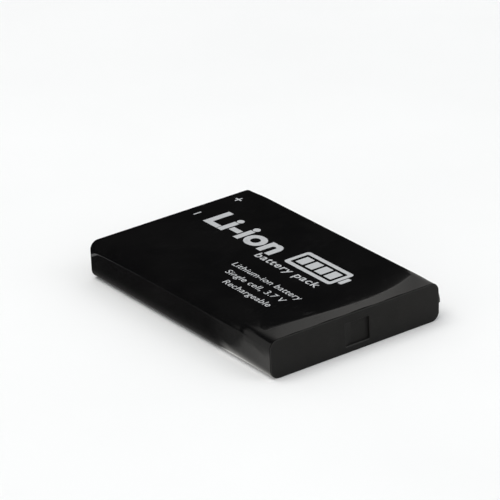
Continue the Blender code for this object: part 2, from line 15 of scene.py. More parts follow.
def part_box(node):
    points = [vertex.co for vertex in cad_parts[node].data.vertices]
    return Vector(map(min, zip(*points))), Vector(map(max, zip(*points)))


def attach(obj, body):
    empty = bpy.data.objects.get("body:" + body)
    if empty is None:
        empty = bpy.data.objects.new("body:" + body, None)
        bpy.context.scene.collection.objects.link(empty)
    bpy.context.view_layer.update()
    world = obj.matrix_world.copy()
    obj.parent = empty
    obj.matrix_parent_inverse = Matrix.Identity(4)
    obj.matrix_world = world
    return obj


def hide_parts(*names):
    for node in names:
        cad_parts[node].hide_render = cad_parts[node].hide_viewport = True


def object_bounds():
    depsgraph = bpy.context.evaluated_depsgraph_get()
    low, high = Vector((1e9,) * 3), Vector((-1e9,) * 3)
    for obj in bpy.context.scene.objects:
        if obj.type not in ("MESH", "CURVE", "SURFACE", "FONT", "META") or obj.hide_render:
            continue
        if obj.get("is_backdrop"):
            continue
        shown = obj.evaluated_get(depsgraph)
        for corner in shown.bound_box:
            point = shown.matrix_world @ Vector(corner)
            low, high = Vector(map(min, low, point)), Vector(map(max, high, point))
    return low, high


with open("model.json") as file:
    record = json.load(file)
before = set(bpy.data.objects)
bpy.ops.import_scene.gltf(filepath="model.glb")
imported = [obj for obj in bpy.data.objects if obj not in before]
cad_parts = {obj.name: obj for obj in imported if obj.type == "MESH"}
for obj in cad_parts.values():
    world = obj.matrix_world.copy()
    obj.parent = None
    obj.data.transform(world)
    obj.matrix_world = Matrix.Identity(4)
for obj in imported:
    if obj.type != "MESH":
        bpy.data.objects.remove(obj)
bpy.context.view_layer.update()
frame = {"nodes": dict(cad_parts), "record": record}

MM = 0.001


def box_mm(name):
    lo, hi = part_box(name)
    return [v / MM for v in lo], [v / MM for v in hi]


base_lo, base_hi = box_mm("base_end_cap")
contact_lo, contact_hi = box_mm("contact_end_cap")
film_lo, film_hi = box_mm("label_wrap")
PACK_W = base_hi[0] - base_lo[0]
PACK_H = base_hi[2] - base_lo[2]
Y_BASE = base_lo[1]
Y_CONTACT = contact_hi[1]
LENGTH = Y_CONTACT - Y_BASE
X_MID = (base_lo[0] + base_hi[0]) / 2
Z_MID = (base_lo[2] + base_hi[2]) / 2
X_LEFT = X_MID - PACK_W / 2
Z_BOTTOM = base_lo[2]
Z_TOP = Z_BOTTOM + PACK_H
EDGE_R = 1.65
FILM_T = 0.12
FIT = 0.04    # clearance between film and caps
PACK = (PACK_W, PACK_H, EDGE_R)    # width, height, corner radius
BODY = (PACK_W - 2 * (FILM_T + FIT), PACK_H - 2 * (FILM_T + FIT), EDGE_R - FILM_T - FIT)

# ------------------------------------------------------------------ node kit


def feed(tree, socket, value):
    """Link an output to the socket, or store a plain value in it."""
    if isinstance(value, bpy.types.NodeSocket):
        tree.links.new(value, socket)
    else:
        socket.default_value = value


def add_node(tree, kind, inputs=None, **settings):
    """New shader node: settings are its own properties, inputs go to its sockets."""
    node = tree.nodes.new("ShaderNode" + kind)
    for key, value in settings.items():
        setattr(node, key, value)
    for key, value in (inputs or {}).items():
        feed(tree, node.inputs[key], value)
    return node


class Surface:
    """A Principled material with textures laid out in millimetres on the object."""

    def __init__(self, name):
        self.mat = bpy.data.materials.new(name)
        self.mat.use_nodes = True
        self.tree = self.mat.node_tree
        self.bsdf = self.tree.nodes["Principled BSDF"]
        coords = self.add("TexCoord").outputs["Object"]
        self.mm = self.vector_calc("MULTIPLY", coords, (1 / MM,) * 3)
        self.normal = None

    def add(self, kind, inputs=None, **settings):
        return add_node(self.tree, kind, inputs, **settings)

    def vector_calc(self, operation, a, b):
        return self.add("VectorMath", {0: a, 1: b}, operation=operation).outputs[0]

    def calc(self, operation, a, b):
        return self.add("Math", {0: a, 1: b, 2: 0.0}, operation=operation).outputs[0]

    def stretched(self, scale, degrees=0, axis="Z"):
        """Coordinates turned about an axis and scaled; a small scale draws the texture out."""
        rotation = [0.0, 0.0, 0.0]
        rotation["XYZ".index(axis)] = radians(degrees)
        inputs = {"Vector": self.mm, "Rotation": rotation, "Scale": scale}
        return self.add("Mapping", inputs).outputs[0]

    def noise(self, size, detail=3.0, roughness=0.5, warp=0.0, vector=None):
        return self.add("TexNoise", {
            "Vector": vector or self.mm, "Scale": 1.0 / size, "Detail": detail,
            "Roughness": roughness, "Distortion": warp}).outputs[0]

    def cells(self, size):
        inputs = {"Vector": self.mm, "Scale": 1.0 / size}
        return self.add("TexVoronoi", inputs).outputs["Distance"]

    def wave(self, size, axis, warp=0.0):
        inputs = {"Vector": self.mm, "Scale": 1.0 / size, "Distortion": warp}
        return self.add("TexWave", inputs, bands_direction=axis).outputs["Fac"]

    def weave(self, size, axis):
        """Waves along X crossed with waves along another axis."""
        return self.calc("MULTIPLY", self.wave(size, "X"), self.wave(size, axis))

    def remap(self, value, start=0.3, end=0.7, low=0.0, high=1.0, **settings):
        """Carry start..end of the value to low..high, held level outside."""
        return self.add("MapRange", {
            "Value": value, "From Min": start, "From Max": end,
            "To Min": low, "To Max": high}, **settings).outputs[0]

    def mix(self, factor, a, b):
        a, b = [(*c, 1.0) if isinstance(c, tuple) else c for c in (a, b)]
        return self.add("Mix", {0: factor, 6: a, 7: b}, data_type="RGBA").outputs[2]

    def tones(self, value, dark, light, start=0.3, end=0.7):
        """Two colours shared out by a texture."""
        return self.mix(self.remap(value, start, end), dark, light)

    def overlay(self, base, color, mask, amount):
        return self.mix(self.calc("MULTIPLY", mask, amount), base, color)

    def bump(self, height, depth):
        """Lay relief of a depth in mm over the relief so far."""
        inputs = {"Strength": 1.0, "Distance": depth * MM, "Height": height}
        if self.normal is not None:
            inputs["Normal"] = self.normal
        self.normal = self.add("Bump", inputs).outputs[0]
        feed(self.tree, self.bsdf.inputs["Normal"], self.normal)

    def scratches(self, angles, size, cut, axis):
        """Thin straight marks in patches: stretched noise cut to its peaks, per angle."""
        total = None
        for i, degrees in enumerate(angles):
            vector = self.stretched((0.045, 1.0, 1.0), degrees, axis)
            vector = self.vector_calc("ADD", vector, (i * 31.7, i * 11.3, i * 5.1))
            marks = self.noise(size, detail=1.0, roughness=0.4, vector=vector)
            marks = self.remap(marks, *cut)
            shifted = self.vector_calc("ADD", self.mm, (i * 9.0, 3.0, 1.0))
            patch = self.noise(size=6.0, detail=2.0, vector=shifted)
            marks = self.calc("MULTIPLY", marks, self.remap(patch, start=0.50, end=0.66))
            total = marks if total is None else self.calc("MAXIMUM", total, marks)
        return total

    def done(self, color, roughness, metallic=0.0, **sockets):
        sockets.update(Base_Color=color, Roughness=roughness, Metallic=metallic)
        for key, value in sockets.items():
            feed(self.tree, self.bsdf.inputs[key.replace("_", " ")], value)
        return self.mat


# ------------------------------------------------------------------ finishes


def make_film():
    s = Surface("film_gloss_black")
    cloud = s.noise(size=9.0, detail=4.0, roughness=0.55, warp=0.6)
    smear = s.noise(size=3.2, roughness=0.6, warp=0.8,
                    vector=s.stretched((0.35, 1.0, 1.0), degrees=28))
    fine = s.scratches(angles=(17, -38, 74), size=0.09, cut=(0.66, 0.72), axis="Z")
    color = s.tones(cloud, dark=(0.0030, 0.0030, 0.0032), light=(0.0048, 0.0047, 0.0048),
                    start=0.35, end=0.70)
    color = s.overlay(color, (0.030, 0.030, 0.031), mask=fine, amount=0.30)
    rough = s.remap(smear, start=0.30, end=0.75, low=0.012, high=0.034)
    rough = s.calc("ADD", rough, s.calc("MULTIPLY", fine, 0.10))    # scratches are duller
    s.bump(s.noise(size=2.6, detail=2.0, roughness=0.45), depth=0.0003)
    s.bump(fine, depth=0.0006)
    return s.done(color, rough, Specular_IOR_Level=0.5, IOR=1.5)


def make_cap():
    s = Surface("cap_satin_black")
    grain = s.noise(size=0.16, detail=2.0, roughness=0.6)
    pebble = s.cells(size=0.22)
    cloud = s.noise(size=5.0, warp=0.4)
    rub = s.scratches(angles=(8, -55), size=0.07, cut=(0.67, 0.73), axis="Y")
    # edge mask from the rings: part wear, part painted highlight on the lip's rounding and the
    # pocket's lower edge
    edges = s.add("Attribute", attribute_name="wear_and_highlight").outputs["Fac"]
    uneven = s.remap(s.noise(size=1.3, roughness=0.6), start=0.25, end=0.60, low=0.55)
    worn = s.calc("MULTIPLY", edges, uneven)
    color = s.tones(cloud, dark=(0.0068, 0.0066, 0.0062), light=(0.0090, 0.0087, 0.0081))
    # painted highlight: the masked edges are lightened, standing in partly for light along the
    # ridges and partly for wear
    color = s.mix(worn, color, (0.045, 0.045, 0.043))
    color = s.overlay(color, (0.035, 0.035, 0.036), mask=rub, amount=0.30)
    rough = s.remap(grain, low=0.46, high=0.60)
    rough = s.calc("SUBTRACT", rough, s.calc("MULTIPLY", worn, 0.12))    # wear polishes
    s.bump(grain, depth=0.0045)
    s.bump(pebble, depth=0.0025)
    return s.done(color, rough, Specular_IOR_Level=0.155)


def make_print():
    s = Surface("print_silver_white")
    speck = s.noise(size=0.22, roughness=0.6)
    worn = s.remap(s.noise(size=1.6, roughness=0.6, warp=0.5), start=0.58, end=0.80)
    color = s.tones(speck, dark=(0.54, 0.55, 0.56), light=(0.63, 0.64, 0.65),
                    start=0.35, end=0.65)
    color = s.overlay(color, (0.30, 0.30, 0.31), mask=worn, amount=0.30)
    s.bump(speck, depth=0.0015)
    return s.done(color, s.remap(speck, low=0.32, high=0.46), metallic=0.15)


def make_gold():
    s = Surface("contact_gold_flash")
    wipe = s.noise(size=0.10, detail=2.0, vector=s.stretched((1.0, 1.0, 0.05)))
    cloud = s.noise(size=0.9, warp=0.4)
    worn = s.remap(s.noise(size=0.7, roughness=0.6), start=0.60, end=0.74)
    color = s.tones(cloud, dark=(0.86, 0.60, 0.24), light=(0.94, 0.70, 0.32))
    color = s.overlay(color, (0.74, 0.66, 0.52), mask=worn, amount=0.5)
    s.bump(wipe, depth=0.0016)
    return s.done(color, s.remap(wipe, low=0.16, high=0.34), metallic=1.0)


def make_metal(name, dark, light, rough, stretch):
    """Brushed metal; rough is the range of roughness."""
    s = Surface(name)
    brush = s.noise(size=0.08, roughness=0.55, vector=s.stretched(stretch))
    cloud = s.noise(size=1.8, warp=0.5)
    color = s.tones(cloud, dark, light)
    s.bump(brush, depth=0.002)
    return s.done(color, s.remap(brush, low=rough[0], high=rough[1]), metallic=1.0)


def make_laminate():
    s = Surface("pouch_laminate_satin")
    weave = s.weave(size=0.5, axis="Y")
    crumple = s.cells(size=4.0)
    cloud = s.noise(size=6.0, detail=4.0, roughness=0.55, warp=0.6)
    color = s.tones(cloud, dark=(0.52, 0.53, 0.55), light=(0.66, 0.67, 0.69))
    s.bump(crumple, depth=0.03)
    s.bump(weave, depth=0.004)
    s.bump(s.noise(size=0.2, detail=2.0), depth=0.002)
    return s.done(color, s.remap(cloud, low=0.26, high=0.40), metallic=0.85)


def make_plain(name, dark, light, size, rough, depth, grain=0.15):
    """Cloudy two-tone finish of a cloud size, with a fine grain in roughness and relief."""
    s = Surface(name)
    cloud = s.noise(size, detail=4.0, roughness=0.55, warp=0.4)
    fine = s.noise(grain, roughness=0.6)
    color = s.tones(cloud, dark, light, start=0.32, end=0.68)
    s.bump(fine, depth)
    return s.done(color, s.remap(fine, low=rough[0], high=rough[1]))


def make_foam():
    s = Surface("foam_open_cell")
    cell = s.cells(size=0.28)
    cloud = s.noise(size=2.5)
    # painted shade: darker towards the bottom of each cell's pit, where the relief is lowest
    color = s.tones(cell, dark=(0.020, 0.020, 0.021), light=(0.060, 0.060, 0.060),
                    start=0.1, end=0.6)
    s.bump(cell, depth=0.09)
    return s.done(color, s.remap(cloud, low=0.85, high=0.97))


def make_fibre():
    s = Surface("fibre_paper_green")
    strands = [s.noise(size=0.12, roughness=0.6, vector=s.stretched((0.12, 1.0, 1.0), degrees))
               for degrees in (25, -40)]
    both = s.calc("MAXIMUM", *strands)
    color = s.tones(both, dark=(0.27, 0.33, 0.27), light=(0.43, 0.49, 0.42),
                    start=0.4, end=0.75)
    s.bump(both, depth=0.015)
    return s.done(color, s.remap(both, start=0.4, low=0.74, high=0.92))


def make_board():
    s = Surface("board_green_mask")
    track = s.remap(s.wave(size=1.1, axis="Z", warp=1.2), start=0.62, end=0.70)
    gaps = s.remap(s.noise(size=2.0, detail=1.0), start=0.50, end=0.54)
    track = s.calc("MULTIPLY", track, gaps)
    weave = s.weave(size=0.35, axis="Z")
    color = s.mix(track, (0.010, 0.085, 0.040), (0.025, 0.150, 0.075))
    s.bump(track, depth=0.012)
    s.bump(weave, depth=0.002)
    return s.done(color, s.remap(weave, start=0.0, end=1.0, low=0.28, high=0.38))


def make_chip():
    s = Surface("chip_moulded_epoxy")
    grain = s.noise(size=0.05, detail=2.0, roughness=0.6)
    color = s.tones(s.noise(size=0.8), dark=(0.010, 0.010, 0.011), light=(0.018, 0.018, 0.019))
    s.bump(grain, depth=0.003)
    return s.done(color, s.remap(grain, low=0.38, high=0.55))


def make_electrode(name, dark, light):
    s = Surface(name)
    grain = s.noise(size=0.07, roughness=0.7)
    band = s.noise(size=2.2, detail=2.0, vector=s.stretched((0.2, 1.0, 1.0)))
    color = s.tones(band, dark, light)
    s.bump(grain, depth=0.004)
    return s.done(color, s.remap(grain, low=0.62, high=0.85))


FILM = make_film()
CAP = make_cap()
PRINT = make_print()
GOLD = make_gold()

finish_for_slot = {
    "label_film": FILM,
    "cap_plastic": CAP,
    "contact_gold": GOLD,
    "rail_plastic": make_plain(
        "rail_black", dark=(0.022, 0.022, 0.024), light=(0.034, 0.034, 0.036),
        size=3.0, rough=(0.42, 0.58), depth=0.004),
    "stiffener_sheet": make_plain(
        "stiffener_grey", dark=(0.080, 0.080, 0.086), light=(0.115, 0.115, 0.122),
        size=7.0, rough=(0.36, 0.50), depth=0.003, grain=0.3),
    "adhesive_film": make_plain(
        "adhesive_haze", dark=(0.66, 0.65, 0.60), light=(0.78, 0.77, 0.72),
        size=4.0, rough=(0.45, 0.68), depth=0.006, grain=0.6),
    "foam": make_foam(),
    "pouch_laminate": make_laminate(),
    "cathode_coating": make_electrode(
        "cathode_black", dark=(0.026, 0.026, 0.028), light=(0.040, 0.040, 0.043)),
    "anode_coating": make_electrode(
        "anode_graphite", dark=(0.050, 0.050, 0.054), light=(0.072, 0.072, 0.077)),
    "separator": make_plain(
        "separator_white", dark=(0.76, 0.76, 0.74), light=(0.86, 0.86, 0.85),
        size=5.0, rough=(0.42, 0.56), depth=0.002, grain=0.2),
    "roll_tape": make_plain(
        "roll_tape_green", dark=(0.035, 0.18, 0.080), light=(0.055, 0.25, 0.11),
        size=4.0, rough=(0.28, 0.44), depth=0.004, grain=0.8),
    "aluminium_foil": make_metal(
        "aluminium_tab", dark=(0.76, 0.76, 0.78), light=(0.86, 0.86, 0.87),
        rough=(0.22, 0.40), stretch=(0.06, 1.0, 1.0)),
    "nickel": make_metal(
        "nickel_strip", dark=(0.56, 0.53, 0.48), light=(0.66, 0.63, 0.57),
        rough=(0.22, 0.38), stretch=(1.0, 1.0, 0.06)),
    "tab_sealant": make_plain(
        "tab_sealant_cream", dark=(0.60, 0.58, 0.49), light=(0.70, 0.68, 0.60),
        size=1.4, rough=(0.34, 0.52), depth=0.006, grain=0.3),
    "fibre_paper": make_fibre(),
    "polyimide_tape": make_plain(
        "polyimide_amber", dark=(0.50, 0.18, 0.012), light=(0.68, 0.28, 0.030),
        size=3.0, rough=(0.16, 0.30), depth=0.004, grain=0.9),
    "board_laminate": make_board(),
    "chip_epoxy": make_chip(),
    "resistor_body": make_plain(
        "resistor_dark", dark=(0.022, 0.026, 0.032), light=(0.036, 0.040, 0.048),
        size=0.6, rough=(0.34, 0.50), depth=0.003, grain=0.06),
    "capacitor_ceramic": make_plain(
        "capacitor_tan", dark=(0.29, 0.18, 0.10), light=(0.38, 0.25, 0.15),
        size=0.6, rough=(0.34, 0.50), depth=0.003, grain=0.06),
}
slot_of = {row["node"]: row["material_slot"] for row in frame["record"]["subparts"]}
for node_name, node_object in frame["nodes"].items():
    node_object.data.materials.clear()
    node_object.data.materials.append(finish_for_slot[slot_of[node_name]])

# ------------------------------------------------------------------ mesh kit


def add_object(name, data):
    ob = bpy.data.objects.new(name, data)
    bpy.context.scene.collection.objects.link(ob)
    return ob


def piece(name, mesh, mat, node=None, sharp=32.0, turned=False):
    """Make a bmesh in mm into a shaded piece that rides on the pack.
    sharp is the crease angle in degrees; turned means the faces already point out."""
    for v in mesh.verts:
        v.co *= MM
    if not turned:
        bmesh.ops.recalc_face_normals(mesh, faces=mesh.faces)
    data = bpy.data.meshes.new(name)
    mesh.to_mesh(data)
    mesh.free()
    data.shade_smooth()
    data.set_sharp_from_angle(angle=radians(sharp))
    data.materials.append(mat)
    ob = add_object(name, data)
    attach(ob, "root")
    if node:
        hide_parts(node)


def corner_points(seg):
    """Four rounded corners, counter-clockwise from the lower right: signs, then normal."""
    for sx, sz, start in ((1, -1, -90), (1, 1, 0), (-1, 1, 90), (-1, -1, 180)):
        for i in range(seg + 1):
            angle = radians(start + 90.0 * i / seg)
            yield sx, sz, cos(angle), sin(angle)


def rounded_rect(w, h, r, xc=X_MID, zc=Z_MID, seg=16):
    """Rounded rectangle of (x, z) points round a centre."""
    return [(xc + sx * (w / 2 - r) + r * nx, zc + sz * (h / 2 - r) + r * nz)
            for sx, sz, nx, nz in corner_points(seg)]


def ring(mesh, points, y):
    return [mesh.verts.new((x, y, z)) for x, z in points]


def inset_ring(mesh, section, inset, y):
    """Ring of a (width, height, radius) section drawn in by an inset."""
    w, h, r = section
    return ring(mesh, rounded_rect(w - 2 * inset, h - 2 * inset, r - inset), y)


def skin(mesh, *rows):
    """Faces between closed rings that follow one another."""
    for a, b in zip(rows, rows[1:]):
        for i in range(len(a)):
            j = (i + 1) % len(a)
            mesh.faces.new((a[i], a[j], b[j], b[i]))


def holed_face(mesh, outer, holes):
    """Flat triangulated face between an outer loop and hole loops."""
    loops = [outer] + holes
    flat = [v for loop in loops for v in loop]
    for triangle in tessellate_polygon([[v.co.copy() for v in loop] for loop in loops]):
        mesh.faces.new([flat[i] for i in triangle])


# ------------------------------------------------------------------ end caps
# inward is the direction along Y from a cap's face into the pack: 1 or -1.
LIP_L, LIP_R = 0.22, 0.14    # length of the full-size lip, rounding of its front edge
POCKET = (5.1, 4.2, 0.25, X_MID + 0.2, Z_BOTTOM + 3.35)    # width, height, radius, centre x, z
POCKET_DEPTH = 0.45
POCKET_RAMP = 1.6    # run over which the pocket's floor climbs on the -X side
POCKET_DRAFT, POCKET_FOOT = 0.03, 0.09    # lean of the walls, rounding at their foot
CAP_FRONT, CAP_WALL, CAVITY_R = 1.3, 0.7, 0.8
WINDOW = (3.3, 3.7, 0.35)    # width, height, radius
WINDOW_SEG = 8
PAD_R, PAD_SOFT = 0.22, 0.12    # corner radius, rounding of the outer edge


def new_cap_mesh():
    mesh = bmesh.new()
    mesh.verts.layers.float.new("wear_and_highlight")
    return mesh


def outer_rings(mesh, face_y, inward, back_y):
    """Rings from the cap's inner end out to the rim of its face."""
    wear_and_highlight = mesh.verts.layers.float["wear_and_highlight"]
    rows = [inset_ring(mesh, BODY, 0.0, back_y),
            inset_ring(mesh, BODY, 0.0, face_y + inward * (LIP_L + 0.02)),
            inset_ring(mesh, BODY, -0.05, face_y + inward * (LIP_L + 0.002)),
            inset_ring(mesh, PACK, 0.015, face_y + inward * LIP_L),
            inset_ring(mesh, PACK, 0.0, face_y + inward * (LIP_L - 0.02))]
    steps = 6
    for i in range(steps, -1, -1):
        a = radians(90.0 * i / steps)
        rows.append(inset_ring(mesh, PACK, LIP_R * (1 - sin(a)),
                               face_y + inward * LIP_R * (1 - cos(a))))
        # lip rounding, lightest halfway round: part wear, part painted ridge highlight
        for v in rows[-1]:
            v[wear_and_highlight] = 0.55 * sin(2 * a)
    for margin in (0.015, 0.10, 0.20, 0.32):    # flat margins, so that the face shades flat
        rows.append(inset_ring(mesh, PACK, LIP_R + margin, face_y))
    skin(mesh, *rows)
    return rows


def mouth_rings(mesh, face_y, inward, opening, soft, sill, seg):
    """Softened mouth of an opening in the face; sill is the softening of its lower edge."""
    wear_and_highlight = mesh.verts.layers.float["wear_and_highlight"]
    base = rounded_rect(*opening, seg)
    steps = 6
    turns = [(0, 0.22), (0, 0.12), (0, 0.015)]    # step, flat margin round the mouth
    turns += [(i, 0.0) for i in range(steps + 1)]
    rows = []
    for i, margin in turns:
        a = radians(90.0 * i / steps)
        row = []
        for (x, z), (_, _, nx, nz) in zip(base, corner_points(seg)):
            low = max(0.0, -nz) ** 2
            edge = soft + (sill - soft) * low
            grow = edge * (1 - sin(a)) + margin
            v = mesh.verts.new((x + nx * grow, face_y + inward * edge * (1 - cos(a)),
                                z + nz * grow))
            # lighter round the mouth, most along its lower edge: part wear, part painted highlight
            # of the sill
            v[wear_and_highlight] = sin(2 * a) * (0.32 + 0.42 * low)
            row.append(v)
        rows.append(row)
    return rows


def pocket_floor_rings(mesh, face_y, inward):
    """Rings down the pocket's walls, round their foot and onto the floor."""
    w, h, r, xc, zc = POCKET
    steps = []    # inset, depth
    for i in range(5):
        a = radians(90.0 * i / 4)
        steps.append((POCKET_DRAFT + POCKET_FOOT * (1 - cos(a)),
                      POCKET_DEPTH - POCKET_FOOT * (1 - sin(a))))
    inset, depth = steps[-1]
    steps += [(inset + more, depth) for more in (0.02, 0.10, 0.20)]
    rows = []
    for inset, depth in steps:
        run = POCKET_RAMP * depth / POCKET_DEPTH
        section = rounded_rect(w - 2 * inset - run, h - 2 * inset, max(r - inset, 0.05),
                               xc + run / 2, zc)
        rows.append(ring(mesh, section, face_y + inward * depth))
    return rows


def build_base_cap():
    mesh = new_cap_mesh()
    rows = outer_rings(mesh, Y_BASE, 1.0, base_hi[1])
    mesh.faces.new(rows[0])
    pocket = mouth_rings(mesh, Y_BASE, 1.0, POCKET, soft=0.05, sill=0.26, seg=16)
    pocket += pocket_floor_rings(mesh, Y_BASE, 1.0)
    skin(mesh, *pocket)
    skin(mesh, rows[-1], pocket[0])
    mesh.faces.new(pocket[-1])
    piece("base_cap_shell", mesh, CAP, "base_end_cap")


def build_contact_cap(windows):
    """Hollow cap with a through window over each contact."""
    mesh = new_cap_mesh()
    rows = outer_rings(mesh, Y_CONTACT, -1.0, contact_lo[1])
    mouths, feet = [], []
    for _, xc, zc, _, _ in windows:
        opening = (*WINDOW, xc, zc)
        hole = mouth_rings(mesh, Y_CONTACT, -1.0, opening, soft=0.12, sill=0.12, seg=WINDOW_SEG)
        hole.append(ring(mesh, rounded_rect(*opening, WINDOW_SEG), Y_CONTACT - CAP_FRONT))
        skin(mesh, *hole)
        mouths.append(hole[0])
        feet.append(hole[-1])
    holed_face(mesh, rows[-1], mouths)
    cavity = rounded_rect(BODY[0] - 2 * CAP_WALL, BODY[1] - 2 * CAP_WALL, CAVITY_R)
    cavity_front = ring(mesh, cavity, Y_CONTACT - CAP_FRONT)
    cavity_back = ring(mesh, cavity, contact_lo[1])
    skin(mesh, cavity_front, cavity_back, rows[0])
    holed_face(mesh, cavity_front, feet)
    piece("contact_cap_shell", mesh, CAP, "contact_end_cap")


def build_pad(name, xc, zc, lo, hi):
    """Gold contact with a rounded outer edge, in the CAD contact's box."""
    mesh = bmesh.new()
    w, h = hi[0] - lo[0], hi[2] - lo[2]
    rows = [ring(mesh, rounded_rect(w, h, PAD_R, xc, zc, WINDOW_SEG), lo[1])]
    for i in range(6):
        a = radians(90.0 * i / 5)
        inset = PAD_SOFT * (1 - cos(a))
        section = rounded_rect(w - 2 * inset, h - 2 * inset, PAD_R - inset * 0.5, xc, zc,
                               WINDOW_SEG)
        rows.append(ring(mesh, section, hi[1] - PAD_SOFT + PAD_SOFT * sin(a)))
    skin(mesh, *rows)
    mesh.faces.new(rows[0])
    mesh.faces.new(rows[-1])
    piece(name.replace("contact_", "contact_pad_"), mesh, GOLD, name)


windows = []    # CAD contact, centre x, centre z, low corner, high corner
for contact in ("contact_negative", "contact_thermistor", "contact_positive"):
    lo, hi = box_mm(contact)
    windows.append((contact, (lo[0] + hi[0]) / 2, (lo[2] + hi[2]) / 2, lo, hi))
build_base_cap()
build_contact_cap(windows)
for window in windows:
    build_pad(*window)

# ------------------------------------------------------------------ label film
# Heights are above the pack's bottom and y runs from the base face.
# creases in the loose film on the -X side: y0, z0, y1, z1, height, width
CREASES = (
    (9.4, 4.6, 7.6, 2.8, 0.018, 0.62),
    (7.8, 3.2, 9.4, 1.0, 0.016, 0.60),
    (13.5, 4.6, 9.2, 3.4, 0.016, 0.55),
    (16.8, 3.9, 11.6, 2.2, 0.014, 0.55),
    (5.2, 5.0, 0.6, 3.1, 0.007, 0.60),
    (24.0, 4.6, 18.6, 3.0, 0.010, 0.55),
)
LAP = 3.0    # height of the overlap's edge on the +X side
# points up the +X side: height, how far the lap stands out
LAP_RISE = (
    (EDGE_R, 0.0), (2.0, 0.0), (2.4, 0.0), (2.8, 0.0), (LAP - 0.012, 0.0), (LAP, 0.112),
    (LAP + 0.035, 0.126), (LAP + 0.10, 0.130), (3.3, 0.128), (3.55, 0.122), (3.8, 0.112),
    (4.05, 0.092), (4.25, 0.070), (4.45, 0.050), (4.7, 0.028), (5.0, 0.008),
)


def smooth(t):
    t = min(1.0, max(0.0, t))
    return t * t * (3 - 2 * t)


def crease_height(y, z):
    """Sum of the creases: a ridge with a shallow valley beside it, tapering to its ends."""
    total = 0.0
    for y0, z0, y1, z1, height, width in CREASES:
        dy, dz = y1 - y0, z1 - z0
        square = dy * dy + dz * dz
        t = min(1.0, max(0.0, ((y - y0) * dy + (z - z0) * dz) / square))
        away = math.hypot(y - y0 - t * dy, z - z0 - t * dz)
        side = ((y - y0) * dz - (z - z0) * dy) / math.sqrt(square)
        taper = smooth(1.0 - abs(2 * t - 1) ** 3 * 0.9)
        valley = 0.5 * (1 if side > 0 else 0.4)
        total += height * taper * exp(-(away / width) ** 2)
        total -= valley * height * taper * exp(-((away - 1.7 * width) / (1.1 * width)) ** 2)
    return total


def film_relief(x, y, z, nx, nz):
    """Outward displacement of the film at a point with normal (nx, nz); x from the middle."""
    # slow waves on the broad faces, calmer near the base cap
    broad = smooth((abs(nz) - 0.80) / 0.2)
    calm = 0.25 + 0.75 * smooth((y - 6.0) / 8.0)
    waves = sin(x / 5.3 + 0.9 * sin(y / 7.1) + 0.7) + 0.7 * sin(y / 6.1 + 0.5 * sin(x / 4.0))
    out = broad * calm * 0.0022 * waves
    for inside in (y - 0.27, LENGTH - 0.27 - y):    # the shrunk ends flare a little
        uneven = 1.0 + 0.6 * sin(x * 0.9 + z * 1.7 + 1.0)
        out += 0.0035 * exp(-max(inside, 0.0) / 0.22) * uneven
    out += smooth((abs(nx) - 0.75) / 0.25) * 0.004 * sin(y / 4.3 + z * 0.8)
    if nx < -0.3:
        out += smooth((-nx - 0.3) / 0.5) * crease_height(y, z)
        # where the film runs off the cap onto the rail it sits a little lower
        out -= (0.020 * smooth((-nx - 0.3) / 0.6) * smooth((y - 7.4) / 1.6)
                * smooth((22.0 - y) / 8.0))
    if nz < -0.2:    # nothing stands below the face it rests on
        out = min(out, 0.0) - 0.004 * smooth((-nz - 0.2) / 0.5)
    return max(-0.030, min(0.085, out))


def side_fullness(nx, nz, y, z):
    """The film bows out over the +X side, and stands squarer than the caps at its top edge."""
    if nx <= 0:
        return 0.0
    bow = 0.17 * smooth(nx) * smooth((z - 0.5) / 2.2) * smooth((PACK_H - 0.4 - z) / 1.2)
    square = 0.0
    if nz > 0:
        square = (0.10 + 0.09 * smooth((y - 1.0) / 4.0)) * smooth((LENGTH - y) / 5.0)
    return bow + square * (1 - cos(4 * math.atan2(nx, max(nz, 1e-6)))) / 2


def film_section():
    """Points (x, z, normal x, normal z, lap) round the outer face, counter-clockwise."""
    x_right, corner = X_LEFT + PACK_W, 14
    x_right = X_MID + PACK_W / 2
    x0, x1 = X_LEFT + EDGE_R, x_right - EDGE_R
    z0, z1 = Z_BOTTOM + EDGE_R, Z_TOP - EDGE_R

    def line(start, end, steps, nx, nz):
        return [(start[0] + (end[0] - start[0]) * (i / steps),
                 start[1] + (end[1] - start[1]) * (i / steps), nx, nz, 0.0)
                for i in range(steps)]

    def arc(xc, zc, start):
        angles = [radians(start + 90.0 * i / corner) for i in range(corner)]
        return [(xc + EDGE_R * cos(a), zc + EDGE_R * sin(a), cos(a), sin(a), 0.0)
                for a in angles]

    points = line((x0, Z_BOTTOM), (x1, Z_BOTTOM), 36, 0, -1) + arc(x1, z0, -90)
    points += [(x_right, Z_BOTTOM + height, 1, 0, lap) for height, lap in LAP_RISE]
    points += arc(x1, z1, 0) + line((x1, Z_TOP), (x0, Z_TOP), 60, 0, 1) + arc(x0, z1, 90)
    return points + line((X_LEFT, z1), (X_LEFT, z0), 22, -1, 0) + arc(x0, z0, 180)


def film_stations():
    """Places along Y, closer at the ends and over the creases."""
    y0, y1 = film_lo[1], film_hi[1]
    stations = [y0, y0 + 0.05, y0 + 0.15]
    y = y0 + 0.3
    while y < y1 - 0.3:
        stations.append(y)
        near = min(y - y0, y1 - y)
        y += 0.22 if (near < 1.5 or y - y0 < 18.0) else 0.5
    return stations + [y1 - 0.15, y1 - 0.05, y1]


